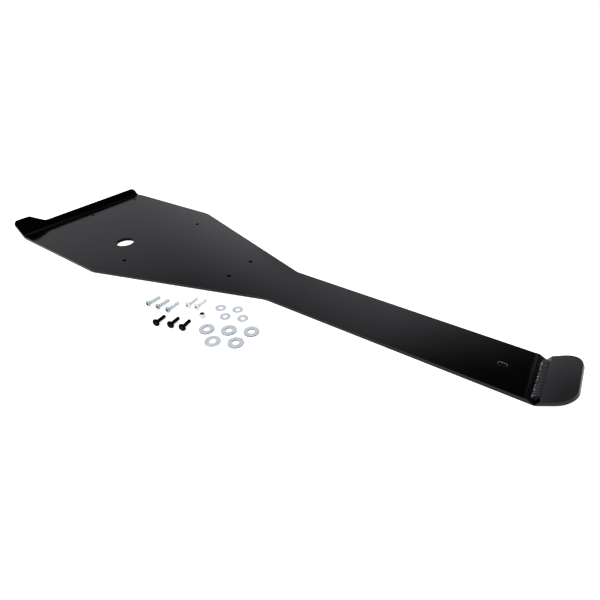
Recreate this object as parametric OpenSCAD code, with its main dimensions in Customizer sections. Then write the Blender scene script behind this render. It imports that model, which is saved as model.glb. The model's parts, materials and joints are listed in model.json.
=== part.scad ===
// Full-length belly skid plate for a quad, with its loose mounting kit laid out beside it.
// +X runs from the tail to the nose, +Y to the left of the machine, +Z up.
// The origin is on the underside and the centre line, at the rear row of bolt holes.

/* [Plate] */
// Thickness of the plate
plate_t = 6.35; // [4:0.05:9]
// Width of the tail at the rear bend
tail_w = 312.5; // [270:0.5:350]
// Width across the shoulders, the widest place
shoulder_w = 320.5; // [270:0.5:370]
// Distance from the rear bolt row to the shoulders
shoulder_x = 236; // [200:1:275]
// Distance from the rear bolt row to the neck, where the bar starts
neck_x = 580; // [520:1:680]
// Width of the bar and of the nose plate
bar_w = 101; // [80:0.5:140]
// Distance from the rear bolt row to the fold at the nose
fold_x = 1012.5; // [850:0.5:1150]
// Rounding of the outline at the shoulders and the neck
turn_r = 45; // [10:1:90]

/* [Rear flange] */
// Distance from the rear bolt row back to the start of the bend
bend_gap = 19.5; // [8:0.5:25]
// Inside radius of the bend
bend_r = 12; // [6:0.5:20]
// Angle that the flange is bent up from flat
flange_angle = 46; // [30:1:80]
// Height of the flange along its slope, above the bend
flange_h = 14.8; // [10:0.5:30]
// How far the ear stands above the flange, along its slope
ear_h = 21.6; // [12:0.5:40]
// Width of the ear at its top
ear_w = 37; // [20:1:60]
// Width of the slope that runs from the ear down to the flange
ear_slope_w = 25; // [15:1:50]
// How far the left end of the flange stops short of the side of the plate
flange_setback = 2.2; // [1:0.1:20]
// Rounding of the corner at the left end of the flange
flange_corner_r = 9; // [1:0.5:9.5]
// Rounding of the corners of the ear
ear_corner_r = 10; // [1:0.5:12]
// Rounding of the hollow between the ear and the flange
ear_hollow_r = 14; // [2:1:30]

/* [Holes] */
// How much wider than the screws the bolt holes are
bolt_clearance = 2; // [0.5:0.1:3.5]
// Distance between the outer two holes of the rear row
rear_row_w = 250; // [200:1:255]
// Distance from the rear bolt row to the shoulder pair of holes
shoulder_pair_x = 259; // [240:1:300]
// Distance between the shoulder pair of holes
shoulder_pair_w = 203; // [140:1:215]
// Distance from the rear bolt row to the neck pair of holes
neck_pair_x = 479; // [400:1:500]
// Distance between the neck pair of holes
neck_pair_w = 64; // [40:1:84]
// Diameter of the drain hole
drain_d = 37; // [25:0.5:60]
// Distance from the rear bolt row to the drain hole
drain_x = 191; // [100:1:205]
// Distance of the drain hole from the centre line, towards the right side
drain_offset = 49; // [0:1:80]
// Distance from the fold back to the middle of the nose slot
slot_to_fold = 50.5; // [40:0.5:90]
// How much wider than the screws the nose slot is
slot_clearance = 0.6; // [0.3:0.1:3]
// How far a screw can slide along the nose slot
slot_travel = 5.5; // [1:0.5:16]
// Width of the bevel round the top of the nose slot
slot_bevel = 0.5; // [0.3:0.1:2]

/* [Nose] */
// Angle of the nose plate from level
nose_angle = 32; // [20:1:50]
// Length of the nose plate
nose_len = 48.5; // [36:0.5:80]
// Rounding of the front corners of the nose plate
nose_corner_r = 24.5; // [3:0.5:30]
// Radius of the slight upward curl of the bar's top beside the weld groove
curl_r = 35; // [25:1:120]
// Slope of the top at the end of that curl
curl_angle = 10; // [2:0.5:12]
// Distance from the fold back to the start of the weld bevel on the bar
bar_bevel = 11.5; // [8:0.5:18]
// Length of the weld bevel on the nose plate
nose_bevel = 8.5; // [4:0.5:11]
// Height of the unbevelled edges that meet at the bottom of the groove
root_land = 1.5; // [0.8:0.1:2.5]
// Distance from each end of the weld to the sides of the bar
weld_stop = 7.5; // [3:0.5:15]
// How much of the bevel on the bar the weld covers
bar_weld_cover = 0.62; // [0.5:0.01:0.9]
// How much of the bevel on the nose plate the weld covers
nose_weld_cover = 0.5; // [0.4:0.01:0.9]
// Height of the crown of the weld above the line between its toes
weld_crown = 1.3; // [0.4:0.1:2.5]

/* [Screws] */
// Outer diameter of the screw threads
thread_d = 6; // [5:0.1:6.4]
// Distance from one thread to the next
thread_pitch = 1; // [0.8:0.05:1.25]
// Length of the zinc screws under the head
zinc_len = 27; // [14:0.5:31]
// Diameter of the zinc heads
zinc_head_d = 10.5; // [9:0.1:13]
// Height of the zinc heads
zinc_head_h = 2.3; // [2:0.1:4.2]
// Length of the black screws under the head
black_len = 23.5; // [12:0.5:28]
// Diameter of the flange under the black heads
black_flange_d = 12.9; // [12:0.1:15]
// Thickness of that flange
black_flange_t = 1; // [0.6:0.1:1.4]
// Diameter of the black heads above the flange
black_head_d = 9.8; // [8.5:0.1:11.5]
// Height of the black heads, with the flange
black_head_h = 2.7; // [2.6:0.1:5]
// Length of the steel screws under the head
steel_len = 27.5; // [14:0.5:32]
// Diameter of the steel heads
steel_head_d = 12; // [10:0.1:14]
// Height of the steel heads
steel_head_h = 2.4; // [2:0.1:4.6]
// Width across the flats of the sockets
socket_af = 4; // [3:0.1:5]
// Depth of the sockets
socket_depth = 1.5; // [1:0.1:1.8]

/* [Lock nut] */
// Width across the flats of the nut
nut_af = 10; // [9:0.1:13]
// Height of the hexagon part
nut_hex_h = 6.2; // [3.5:0.1:7]
// Height of the round collar above the hexagon
nut_collar_h = 1.7; // [1.2:0.1:2.5]
// Wall of the collar round the nylon ring
nut_collar_wall = 0.8; // [0.5:0.05:1]
// How much smaller than the thread the hole of the nylon ring is
ring_grip = 0.5; // [0.2:0.05:0.8]

/* [Washers] */
// Outer diameter of the large washers
large_washer_d = 25.4; // [20:0.1:30]
// Hole of the large washers
large_washer_hole_d = 11.1; // [8:0.1:13]
// Thickness of the large washers
large_washer_t = 2.1; // [1.2:0.1:3]
// Outer diameter of the small washers
small_washer_d = 18.6; // [14:0.1:22]
// How much wider than the thread the hole of the small washers is
small_washer_clearance = 1.6; // [0.4:0.1:2.5]
// Thickness of the small washers
small_washer_t = 1.6; // [1:0.1:2.5]

/* [Kit layout] */
// Distance from the rear bolt row to the corner that the kit is laid out from
kit_x = 440; // [380:1:500]
// Gap between the edge of the flare and that corner
kit_gap = 15.2; // [10:0.1:60]
// Distance from one zinc screw to the next
zinc_pitch = 21.5; // [16:0.5:30]
// Distance from one black screw to the next
black_pitch = 23.6; // [18:0.2:30]
// Distance between the steel screws
steel_pitch = 17.2; // [16:0.2:30]
// Free space between neighbouring large washers in a row
large_washer_gap = 10.9; // [4:0.1:16]
// Free space between the two rows of large washers
large_row_gap = 8.1; // [4:0.1:16]
// Free space between neighbouring small washers in a row
small_washer_gap = 11.7; // [4:0.1:16]
// Free space between the two rows of small washers
small_row_gap = 8.4; // [4:0.1:16]

/* [Hidden] */

$fn = 64;
// How far a cutting solid runs past the surface that it cuts
through = 1;
coat_black = [0.09, 0.09, 0.1];
zinc_grey = [0.72, 0.76, 0.8];
pale_steel = [0.86, 0.86, 0.86];
oxide_black = [0.13, 0.13, 0.14];
nylon_black = [0.05, 0.05, 0.07];

// ---- Outlines with rounded corners ----

// Straight pieces in each rounded corner
arc_steps = 8;

// Points of a circular arc that rounds the corner b between the points a and c
function rounded_corner(a, b, c, r) =
    let (
        u = (a - b) / norm(a - b),
        v = (c - b) / norm(c - b),
        half = acos(u * v) / 2,
        centre = b + (u + v) / norm(u + v) * r / sin(half),
        from = b + u * r / tan(half) - centre,
        to = b + v * r / tan(half) - centre,
        start = atan2(from[1], from[0]),
        turn = atan2(from[0] * to[1] - from[1] * to[0], from * to)
    )
    [for (i = [0:arc_steps]) centre + r * [cos(start + turn * i / arc_steps),
                                           sin(start + turn * i / arc_steps)]];

// Outline through corners given as [x, y, rounding radius]
function rounded_outline(corners) =
    let (n = len(corners), at = [for (p = corners) [p[0], p[1]]])
    [for (i = [0:n - 1])
        each corners[i][2] > 0
            ? rounded_corner(at[(i + n - 1) % n], at[i], at[(i + 1) % n], corners[i][2])
            : [at[i]]];

// ---- Main plate ----

// Half the width of the flare at a distance x from the rear bolt row
function flare_half_w(x) =
    (shoulder_w - (shoulder_w - bar_w) * (x - shoulder_x) / (neck_x - shoulder_x)) / 2;

// The top of the bar curls up to a lip, where the weld bevel starts
lip_x = fold_x - bar_bevel;
lip_z = plate_t + curl_r * (1 - cos(curl_angle));
curl_start_x = lip_x - curl_r * sin(curl_angle);
// The unbevelled edges of both plates meet on the plane that halves the angle between them
land_lean = root_land * tan(nose_angle / 2);

bolt_hole_d = thread_d + bolt_clearance;
slot_w = thread_d + slot_clearance;

module tail_and_bar() {
    // the left rear corner is cut off from the side to the end of the bend
    setback_run = bend_gap - bolt_hole_d / 2;
    outline = rounded_outline([
        [-bend_gap, -tail_w / 2, 0],
        [shoulder_x, -shoulder_w / 2, turn_r],
        [neck_x, -bar_w / 2, turn_r],
        [curl_start_x, -bar_w / 2, 0],
        [curl_start_x, bar_w / 2, 0],
        [neck_x, bar_w / 2, turn_r],
        [shoulder_x, shoulder_w / 2, turn_r],
        [setback_run - bend_gap, tail_w / 2, 0],
        [-bend_gap, tail_w / 2 - flange_setback, 0]
    ]);
    linear_extrude(plate_t) polygon(outline);
}

// Side view of the bar's end: the curl, then the bevel down to the land at the fold
module bar_end() {
    curl = [for (i = [0:arc_steps]) let (a = curl_angle * i / arc_steps)
        [curl_start_x + curl_r * sin(a), plate_t + curl_r * (1 - cos(a))]];
    side = concat(curl, [[fold_x - land_lean, root_land], [fold_x, 0], [curl_start_x, 0]]);
    translate([0, bar_w / 2, 0]) rotate([90, 0, 0]) linear_extrude(bar_w) polygon(side);
}

// A point in the side view of the bend, at radius r and angle a from where the bend starts
function in_bend(r, a) = [-bend_gap - r * sin(a), plate_t + bend_r - r * cos(a)];

under_bend_r = bend_r + plate_t;
flange_w = tail_w - flange_setback;

// Side view of the bend and the flange, all the way up to the top of the ear
module bent_strip() {
    slope = (flange_h + ear_h) * [-cos(flange_angle), sin(flange_angle)];
    inner = [for (i = [0:arc_steps]) in_bend(bend_r, flange_angle * i / arc_steps)];
    under = [for (i = [arc_steps:-1:0]) in_bend(under_bend_r, flange_angle * i / arc_steps)];
    side = concat(inner, [inner[arc_steps] + slope, under[0] + slope], under);
    translate([0, flange_w - tail_w / 2, 0]) rotate([90, 0, 0]) linear_extrude(flange_w)
        polygon(side);
}

// What is cut away beside the ear and round the corners, seen square to the flange
module flange_cut() {
    left_end = flange_w - tail_w / 2;
    ear_inner = ear_w - tail_w / 2;
    outline = rounded_outline([
        [-tail_w / 2, -through, 0],
        [left_end, -through, 0],
        [left_end, flange_h, flange_corner_r],
        [ear_inner + ear_slope_w, flange_h, ear_hollow_r],
        [ear_inner, flange_h + ear_h, ear_corner_r],
        [-tail_w / 2, flange_h + ear_h, ear_corner_r]
    ]);
    foot = in_bend(under_bend_r + through, flange_angle);
    translate([foot[0], 0, foot[1]]) rotate([0, flange_angle - 90, 0]) rotate([90, 0, 90])
        linear_extrude(plate_t + 2 * through) difference() {
            translate([-tail_w / 2 - through, 0])
                square([flange_w + 2 * through, flange_h + ear_h + through]);
            polygon(outline);
        }
}

module rear_flange() {
    difference() {
        bent_strip();
        flange_cut();
    }
}

module bolt_hole(x, y) {
    translate([x, y, -through]) cylinder(d = bolt_hole_d, h = plate_t + 2 * through);
}

module bolt_holes() {
    bolt_hole(0, 0);
    for (side = [-1, 1]) {
        bolt_hole(0, side * rear_row_w / 2);
        bolt_hole(shoulder_pair_x, side * shoulder_pair_w / 2);
        bolt_hole(neck_pair_x, side * neck_pair_w / 2);
    }
}

module drain_hole() {
    translate([drain_x, -drain_offset, -through])
        cylinder(d = drain_d, h = plate_t + 2 * through);
}

// Slot with a bevel round its top edge, which the cutting solid carries on above the plate
module nose_slot() {
    rim = slot_w / 2 + 2 * slot_bevel;
    translate([fold_x - slot_to_fold, 0, 0]) {
        for (end = [-1, 1]) translate([end * slot_travel / 2, 0, 0]) {
            translate([0, 0, -through]) cylinder(d = slot_w, h = plate_t + 2 * through);
            translate([0, 0, plate_t - slot_bevel])
                cylinder(r1 = slot_w / 2, r2 = rim, h = 2 * slot_bevel);
        }
        translate([slot_travel / 2, 0, plate_t])
            rotate([90, 0, -90]) linear_extrude(slot_travel) polygon([
                [-slot_w / 2, -plate_t - through], [slot_w / 2, -plate_t - through],
                [slot_w / 2, -slot_bevel], [rim, slot_bevel],
                [-rim, slot_bevel], [-slot_w / 2, -slot_bevel]
            ]);
    }
}

module main_plate() {
    color(coat_black) difference() {
        union() {
            tail_and_bar();
            bar_end();
            rear_flange();
        }
        bolt_holes();
        drain_hole();
        nose_slot();
    }
}

// ---- Nose plate and weld ----

module nose_plate() {
    outline = rounded_outline([
        [0, -bar_w / 2, 0],
        [nose_len, -bar_w / 2, nose_corner_r],
        [nose_len, bar_w / 2, nose_corner_r],
        [0, bar_w / 2, 0]
    ]);
    bevel_slope = (nose_bevel - land_lean) / (plate_t - root_land);
    bevel = [
        [-through, -through], [0, -through], [0, 0], [land_lean, root_land],
        [nose_bevel + bevel_slope * through, plate_t + through],
        [-through, plate_t + through]
    ];
    color(coat_black)
        translate([fold_x, 0, 0]) rotate([0, -nose_angle, 0]) difference() {
            linear_extrude(plate_t) polygon(outline);
            translate([0, bar_w / 2 + through, 0]) rotate([90, 0, 0])
                linear_extrude(bar_w + 2 * through) polygon(bevel);
        }
}

// A point in the side view of the nose plate: s along it from the fold, and up from its underside
function in_nose(s, up) =
    [fold_x + s * cos(nose_angle) - up * sin(nose_angle), s * sin(nose_angle) + up * cos(nose_angle)];

module nose_weld() {
    root = [fold_x - land_lean, root_land];
    bar_toe = root + ([lip_x, lip_z] - root) * bar_weld_cover;
    nose_toe = in_nose(land_lean + (nose_bevel - land_lean) * nose_weld_cover,
                       root_land + (plate_t - root_land) * nose_weld_cover);
    chord = bar_toe - nose_toe;
    out = [chord[1], -chord[0]] / norm(chord);
    cap_steps = 10;
    cap = [for (i = [1:cap_steps - 1]) let (f = i / cap_steps)
        nose_toe + chord * f + out * weld_crown * 4 * f * (1 - f)];
    weld_len = bar_w - 2 * weld_stop;
    color(coat_black)
        translate([0, weld_len / 2, 0]) rotate([90, 0, 0]) linear_extrude(weld_len)
        polygon(concat([root, nose_toe], cap, [bar_toe]));
}

// ---- Screws ----

// Proportions of a metric thread, as shares of its pitch
thread_depth = 0.61 * thread_pitch;
crest_half = thread_pitch / 16;
tapped_depth = 0.54 * thread_pitch;
flank_run = thread_depth * tan(30);
thread_root_r = thread_d / 2 - thread_depth;
tip_bevel = 0.5;

// Threaded shank from z = 0 to its tip at z = length, with a ring for each turn of the thread
module threaded_shank(length) {
    rings = floor((length - tip_bevel) / thread_pitch) - 1;
    first = length - tip_bevel - rings * thread_pitch;
    ridge = [for (i = [0:rings - 1]) let (z = first + (i + 0.5) * thread_pitch)
        each [[thread_root_r, z - crest_half - flank_run], [thread_d / 2, z - crest_half],
              [thread_d / 2, z + crest_half], [thread_root_r, z + crest_half + flank_run]]];
    rotate_extrude() polygon(concat(
        [[0, -tip_bevel], [thread_root_r, -tip_bevel]],
        ridge,
        [[thread_root_r, length - tip_bevel], [thread_root_r - tip_bevel, length], [0, length]]
    ));
}

// Shares of a head's diameter and height: its flat top's radius, and its upright rim
head_flat_share = 0.36;
head_rim_share = 0.4;

// Low domed head with a wide flat top, from z = 0 up to z = h
module domed_head(d, h) {
    flat_r = d * head_flat_share;
    rim_h = h * head_rim_share;
    // sphere through the rim and the edge of the flat top
    sphere_z = (pow(flat_r, 2) - pow(d / 2, 2) + pow(h, 2) - pow(rim_h, 2)) / (2 * (h - rim_h));
    sphere_r = norm([flat_r, h - sphere_z]);
    intersection() {
        translate([0, 0, sphere_z]) sphere(r = sphere_r);
        cylinder(d = d, h = h);
    }
}

// Screw standing on its head: the socket opens downwards and the tip points up
module socket_screw(length, head_d, head_h, flange_d = 0, flange_t = 0) {
    difference() {
        union() {
            threaded_shank(length);
            mirror([0, 0, 1]) domed_head(head_d, head_h);
            if (flange_d > 0) translate([0, 0, -flange_t]) cylinder(d = flange_d, h = flange_t);
        }
        translate([0, 0, -head_h - through]) rotate(30)
            cylinder(d = socket_af / cos(30), h = socket_depth + through, $fn = 6);
    }
}

// Lays a screw on the floor, resting on its head's rim and its last thread.
// place is the middle of the underside of the head, and heading the way the tip points.
module laid_screw(place, heading, length, rim_d) {
    last_thread = length - tip_bevel - thread_pitch / 2 + crest_half;
    dip = atan((rim_d - thread_d) / 2 / last_thread);
    translate([place[0], place[1], rim_d / 2 * cos(dip)])
        rotate([0, 0, heading]) rotate([0, 90 + dip, 0]) children();
}

// ---- Kit layout: everything is placed from one corner beside the flare ----

kit_corner = [kit_x, -flare_half_w(kit_x) - kit_gap];

// Place number i in a row that starts at first, with a pitch in a direction
function in_row(first, i, pitch, direction) =
    kit_corner + first + i * pitch * [cos(direction), sin(direction)];

// Each row of screws has the place of its first screw, the direction of the row, the heading
// of the first tip, and the turn from each heading to the next
zinc_first = [-18.7, -63.6];
zinc_row_angle = 8.2;
zinc_heading = 95;
zinc_turn = 1.6;

module zinc_screw(i) {
    color(zinc_grey)
        laid_screw(in_row(zinc_first, i, zinc_pitch, zinc_row_angle),
                   zinc_heading + i * zinc_turn, zinc_len, zinc_head_d)
        rotate(25 * i) socket_screw(zinc_len, zinc_head_d, zinc_head_h);
}

black_first = [36.6, -92.5];
black_row_angle = 18;
black_heading = 105.5;
black_turn = 1;

// The middle one lies a little out of its row
black_nudge = [1.3, 1.9];

module black_screw(i) {
    color(oxide_black)
        laid_screw(in_row(black_first, i, black_pitch, black_row_angle) + i % 2 * black_nudge,
                   black_heading + i * black_turn, black_len, black_flange_d)
        rotate(20 * i)
        socket_screw(black_len, black_head_d, black_head_h, black_flange_d, black_flange_t);
}

steel_first = [43.2, -29.9];
steel_row_angle = 14.7;
steel_heading = 101.5;
steel_turn = -0.8;

module steel_screw(i) {
    color(pale_steel)
        laid_screw(in_row(steel_first, i, steel_pitch, steel_row_angle),
                   steel_heading + i * steel_turn, steel_len, steel_head_d)
        rotate(35 * i) socket_screw(steel_len, steel_head_d, steel_head_h);
}

// ---- Lock nut, standing on its bearing face with its collar up ----

nut_place = kit_corner + [83, -35.8];
nut_heading = 12;
hex_d = nut_af / cos(30);
// the collar is a little narrower than the hexagon, and its top edge is rolled over the ring
collar_d = nut_af * 0.92;
collar_top = nut_hex_h + nut_collar_h;
collar_lip = 0.4;
// the ring's seat is cut a little way into the hexagon
ring_seat = 0.3;
ring_d = collar_d - 2 * nut_collar_wall;
ring_z = nut_hex_h - ring_seat;

module lock_nut() {
    // turned outline that bevels the corners of the hexagon at both ends
    bevel_h = (hex_d - nut_af) / 2 * tan(30);
    turned = [
        [0, 0], [nut_af / 2, 0], [hex_d / 2, bevel_h],
        [hex_d / 2, nut_hex_h - bevel_h], [nut_af / 2, nut_hex_h], [0, nut_hex_h]
    ];
    tapped_d = thread_d - 2 * tapped_depth;
    color(pale_steel) translate([nut_place[0], nut_place[1], 0]) rotate(nut_heading) difference() {
        union() {
            intersection() {
                cylinder(d = hex_d, h = nut_hex_h, $fn = 6);
                rotate_extrude() polygon(turned);
            }
            cylinder(d = collar_d, h = collar_top);
        }
        translate([0, 0, -through]) cylinder(d = tapped_d, h = collar_top + 2 * through);
        translate([0, 0, ring_z]) cylinder(d = ring_d, h = collar_top);
    }
}

module lock_nut_ring() {
    ring_h = collar_top - collar_lip - ring_z;
    color(nylon_black) translate([nut_place[0], nut_place[1], ring_z]) difference() {
        cylinder(d = ring_d, h = ring_h);
        translate([0, 0, -through]) cylinder(d = thread_d - ring_grip, h = ring_h + 2 * through);
    }
}

// ---- Washers ----

module washer(place, d, hole_d, t) {
    color(zinc_grey) translate([place[0], place[1], 0]) difference() {
        cylinder(d = d, h = t);
        translate([0, 0, -through]) cylinder(d = hole_d, h = t + 2 * through);
    }
}

// Place number i in a row, where each next row starts at an angle below the last one
function in_nested_row(first, row, i, pitch, direction, row_pitch, row_direction) =
    in_row(first + row * row_pitch * [cos(row_direction), sin(row_direction)], i, pitch, direction);

// Both kinds of washer lie in two rows. Each kind has the place of its first washer, the
// direction of its rows, and the direction from the start of the first row to the second.
large_first = [112, -55.7];
large_row_angle = 28;
large_next_row_angle = -30;

module large_washer(row, i) {
    washer(in_nested_row(large_first, row, i, large_washer_d + large_washer_gap, large_row_angle,
                         large_washer_d + large_row_gap, large_next_row_angle),
           large_washer_d, large_washer_hole_d, large_washer_t);
}

small_first = [91, -0.9];
small_row_angle = 23.5;
small_next_row_angle = -31;

module small_washer(row, i) {
    washer(in_nested_row(small_first, row, i, small_washer_d + small_washer_gap, small_row_angle,
                         small_washer_d + small_row_gap, small_next_row_angle),
           small_washer_d, thread_d + small_washer_clearance, small_washer_t);
}

// ---- Parts ----

main_plate();
nose_plate();
nose_weld();
zinc_screw(0);  // zinc_screw_1
zinc_screw(1);  // zinc_screw_2
zinc_screw(2);  // zinc_screw_3
black_screw(0);  // black_screw_1
black_screw(1);  // black_screw_2
black_screw(2);  // black_screw_3
steel_screw(0);  // steel_screw_1
steel_screw(1);  // steel_screw_2
lock_nut();
lock_nut_ring();
large_washer(0, 0);  // large_washer_1
large_washer(0, 1);  // large_washer_2
large_washer(0, 2);  // large_washer_3
large_washer(1, 0);  // large_washer_4
large_washer(1, 1);  // large_washer_5
small_washer(0, 0);  // small_washer_1
small_washer(0, 1);  // small_washer_2
small_washer(1, 0);  // small_washer_3
small_washer(1, 1);  // small_washer_4
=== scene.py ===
"""A full-length belly skid plate for a quad, with its mounting kit laid out beside it.

The shapes come from the frame: its boxes, its solids' corners and its record. Lengths are in metres.
"""

import json
import math
import random

import bmesh
import bpy
from mathutils import Matrix, Vector, noise


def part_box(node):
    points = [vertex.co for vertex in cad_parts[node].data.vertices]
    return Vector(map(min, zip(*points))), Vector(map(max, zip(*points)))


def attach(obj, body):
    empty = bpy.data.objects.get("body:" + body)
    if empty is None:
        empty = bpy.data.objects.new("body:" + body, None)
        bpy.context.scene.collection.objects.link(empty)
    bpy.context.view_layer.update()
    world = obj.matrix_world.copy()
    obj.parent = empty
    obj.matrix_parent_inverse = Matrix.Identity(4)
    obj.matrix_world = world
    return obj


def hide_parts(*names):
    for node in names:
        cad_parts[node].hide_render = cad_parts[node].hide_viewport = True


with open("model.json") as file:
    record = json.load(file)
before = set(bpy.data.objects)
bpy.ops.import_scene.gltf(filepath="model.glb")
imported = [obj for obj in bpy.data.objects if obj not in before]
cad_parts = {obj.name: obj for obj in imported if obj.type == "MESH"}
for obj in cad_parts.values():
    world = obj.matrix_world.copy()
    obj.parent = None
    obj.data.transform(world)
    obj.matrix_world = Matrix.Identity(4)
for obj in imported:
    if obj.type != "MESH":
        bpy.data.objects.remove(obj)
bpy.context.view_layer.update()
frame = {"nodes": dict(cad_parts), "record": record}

MM = 0.001
WHITE = (1, 1, 1, 1)
BLACK = (0, 0, 0, 1)

# ---------------------------------------------------------------- camera and light

CAMERA_PLACE = Vector((0.9688, -0.5051, 0.4168))
CAMERA_DOWN = math.radians(35.09)
CAMERA_TURN = math.radians(34.67)
CAMERA_LEAN = math.radians(-1.065)
CAMERA_LENS = 24.83
CAMERA_NEAR = 0.01

LAMP_LIGHT = 1.7
LAMP_SPREAD = math.radians(70)
LAMP_TURN = (math.radians(42), math.radians(8), 0)

PAPER_WHITE = 0.8
PAPER_GREY = 0.99 * PAPER_WHITE
PAPER_GLOW = 0.6
PAPER_REACH = 30.0
PAPER_LOW = -0.1 * MM

DOME_LIGHT = 0.62
WINDOW_LIGHT = 0.64
WALL_LIGHT = 0.37
HIGH_WALL_LIGHT = 0.3 * WALL_LIGHT
CEILING_LIGHT = 0.02
PILLAR_SHADE = 0.78
BACK_LIGHT = 0.35
TOP_LIGHT = 0.3
GLOSS_TINT = (1.02, 0.97, 1.05, 1)


def make_camera():
    """The camera, turned about +Z, tilted down and leaned about its own line of sight."""
    camera = bpy.data.objects.new("camera", bpy.data.cameras.new("camera"))
    bpy.context.collection.objects.link(camera)
    turn = Matrix.Rotation(CAMERA_TURN, 4, "Z")
    tilt = Matrix.Rotation(math.pi / 2 - CAMERA_DOWN, 4, "X")
    lean = Matrix.Rotation(CAMERA_LEAN, 4, "Z")
    camera.matrix_world = Matrix.Translation(CAMERA_PLACE) @ turn @ tilt @ lean
    camera.data.lens = CAMERA_LENS
    camera.data.clip_start = CAMERA_NEAR
    bpy.context.scene.camera = camera
    bpy.context.scene.view_settings.view_transform = "Standard"


def make_lamp():
    """One large soft lamp behind and above the camera."""
    lamp = bpy.data.lights.new("soft_lamp", "SUN")
    lamp.energy = LAMP_LIGHT
    lamp.angle = LAMP_SPREAD
    holder = bpy.data.objects.new("soft_lamp", lamp)
    holder.rotation_euler = LAMP_TURN
    holder.visible_glossy = False
    bpy.context.collection.objects.link(holder)


class Nodes:
    """Adds shader nodes to one tree, with their values and links in one call."""

    def __init__(self, tree):
        self.tree = tree

    def add(self, kind, settings=None, **inputs):
        """A node of a kind. inputs are its sockets, with _ for each space in a name."""
        node = self.tree.nodes.new(kind)
        for name, value in (settings or {}).items():
            setattr(node, name, value)
        for name, value in inputs.items():
            self.feed(node.inputs[name.replace("_", " ")], value)
        return node

    def feed(self, socket, value):
        """Links another node's socket to a socket, or sets a plain value on it."""
        if isinstance(value, bpy.types.NodeSocket):
            self.tree.links.new(value, socket)
        else:
            socket.default_value = value

    def math(self, operation, a, b=0.0, c=0.0):
        """One operation on two or three values."""
        node = self.tree.nodes.new("ShaderNodeMath")
        node.operation = operation
        for socket, value in zip(node.inputs, (a, b, c)):
            self.feed(socket, value)
        return node.outputs[0]

    def ramp(self, value, low, high, to_low=0.0, to_high=1.0):
        """A smooth step from to_low to to_high as value goes from low to high."""
        node = self.add(
            "ShaderNodeMapRange",
            {"interpolation_type": "SMOOTHSTEP"},
            Value=value,
            From_Min=low,
            From_Max=high,
            To_Min=to_low,
            To_Max=to_high,
        )
        return node.outputs["Result"]

    def mix(self, factor, a, b):
        """A colour from a to b. A Mix node has sockets for other kinds of value before these."""
        node = self.add("ShaderNodeMix", {"data_type": "RGBA"})
        factor_socket, a_socket, b_socket = node.inputs[0], node.inputs[6], node.inputs[7]
        for socket, value in ((factor_socket, factor), (a_socket, a), (b_socket, b)):
            self.feed(socket, value)
        return node.outputs[2]


def toward(west, up):
    """The direction that lies some degrees west of +Y and some degrees above level."""
    west, up = math.radians(west), math.radians(up)
    return Vector((-math.sin(west) * math.cos(up), math.cos(west) * math.cos(up), math.sin(up)))


def round_patch(n, direction, middle, inner, outer):
    """1 within the inner angle of a direction, 0 beyond the outer angle."""
    aim = n.add("ShaderNodeVectorMath", {"operation": "DOT_PRODUCT"})
    n.feed(aim.inputs[0], direction)
    n.feed(aim.inputs[1], middle)
    low, high = math.cos(math.radians(outer)), math.cos(math.radians(inner))
    return n.ramp(aim.outputs["Value"], low, high)


def by_height(n, height, low, high, to_low, to_high):
    """A smooth step between two angles above level."""
    low, high = math.sin(math.radians(low)), math.sin(math.radians(high))
    return n.ramp(height, low, high, to_low, to_high)


def mirrored_room(n, direction):
    """How bright a reflection is by its direction.

    The far wall has a window and a pillar. The east wall and the ceiling are dark. The wall behind
    the camera is dim, and a faint light hangs right overhead.
    """
    axes = n.add("ShaderNodeSeparateXYZ", Vector=direction).outputs
    window = round_patch(n, direction, toward(west=12.4, up=1.9), inner=24.6, outer=48.6)
    dark_wall = round_patch(n, direction, toward(west=-76.4, up=60.1), inner=49.8, outer=63.2)
    pillar = round_patch(n, direction, toward(west=33.8, up=24.0), inner=1.6, outer=8.2)
    wall = by_height(n, axes["Z"], low=24, high=38, to_low=WALL_LIGHT, to_high=HIGH_WALL_LIGHT)
    room = n.math("MULTIPLY_ADD", window, WINDOW_LIGHT, wall)
    room = n.math("MULTIPLY", room, n.math("SUBTRACT", 1.0, dark_wall))
    beside_pillar = n.math("MULTIPLY_ADD", pillar, -PILLAR_SHADE, 1.0)
    below_ceiling = by_height(n, axes["Z"], low=39.7, high=52.3, to_low=1.0, to_high=CEILING_LIGHT)
    far_side = n.ramp(axes["Y"], low=-0.25, high=0.1, to_low=CEILING_LIGHT)
    room = n.math("MULTIPLY", room, n.math("MULTIPLY", beside_pillar, below_ceiling))
    room = n.math("MULTIPLY", room, far_side)
    back = n.ramp(axes["Y"], low=-0.3, high=-0.55, to_high=BACK_LIGHT)
    overhead = by_height(n, axes["Z"], low=60, high=80, to_low=0.0, to_high=TOP_LIGHT)
    return n.math("MAXIMUM", n.math("MAXIMUM", room, back), overhead)


def make_world():
    """An even dome of light, white to the camera. Only reflections see the room."""
    world = bpy.data.worlds.new("studio")
    world.use_nodes = True
    tree = world.node_tree
    tree.nodes.clear()
    n = Nodes(tree)
    direction = n.add("ShaderNodeTexCoord").outputs["Generated"]
    rays = n.add("ShaderNodeLightPath").outputs
    by_gloss = n.math("SUBTRACT", mirrored_room(n, direction), DOME_LIGHT)
    strength = n.math("MULTIPLY_ADD", rays["Is Glossy Ray"], by_gloss, DOME_LIGHT)
    strength = n.math("MAXIMUM", strength, rays["Is Camera Ray"])
    tint = n.mix(rays["Is Glossy Ray"], WHITE, GLOSS_TINT)
    background = n.add("ShaderNodeBackground", Color=tint, Strength=strength)
    output = n.add("ShaderNodeOutputWorld")
    tree.links.new(background.outputs[0], output.inputs["Surface"])
    bpy.context.scene.world = world


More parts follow.
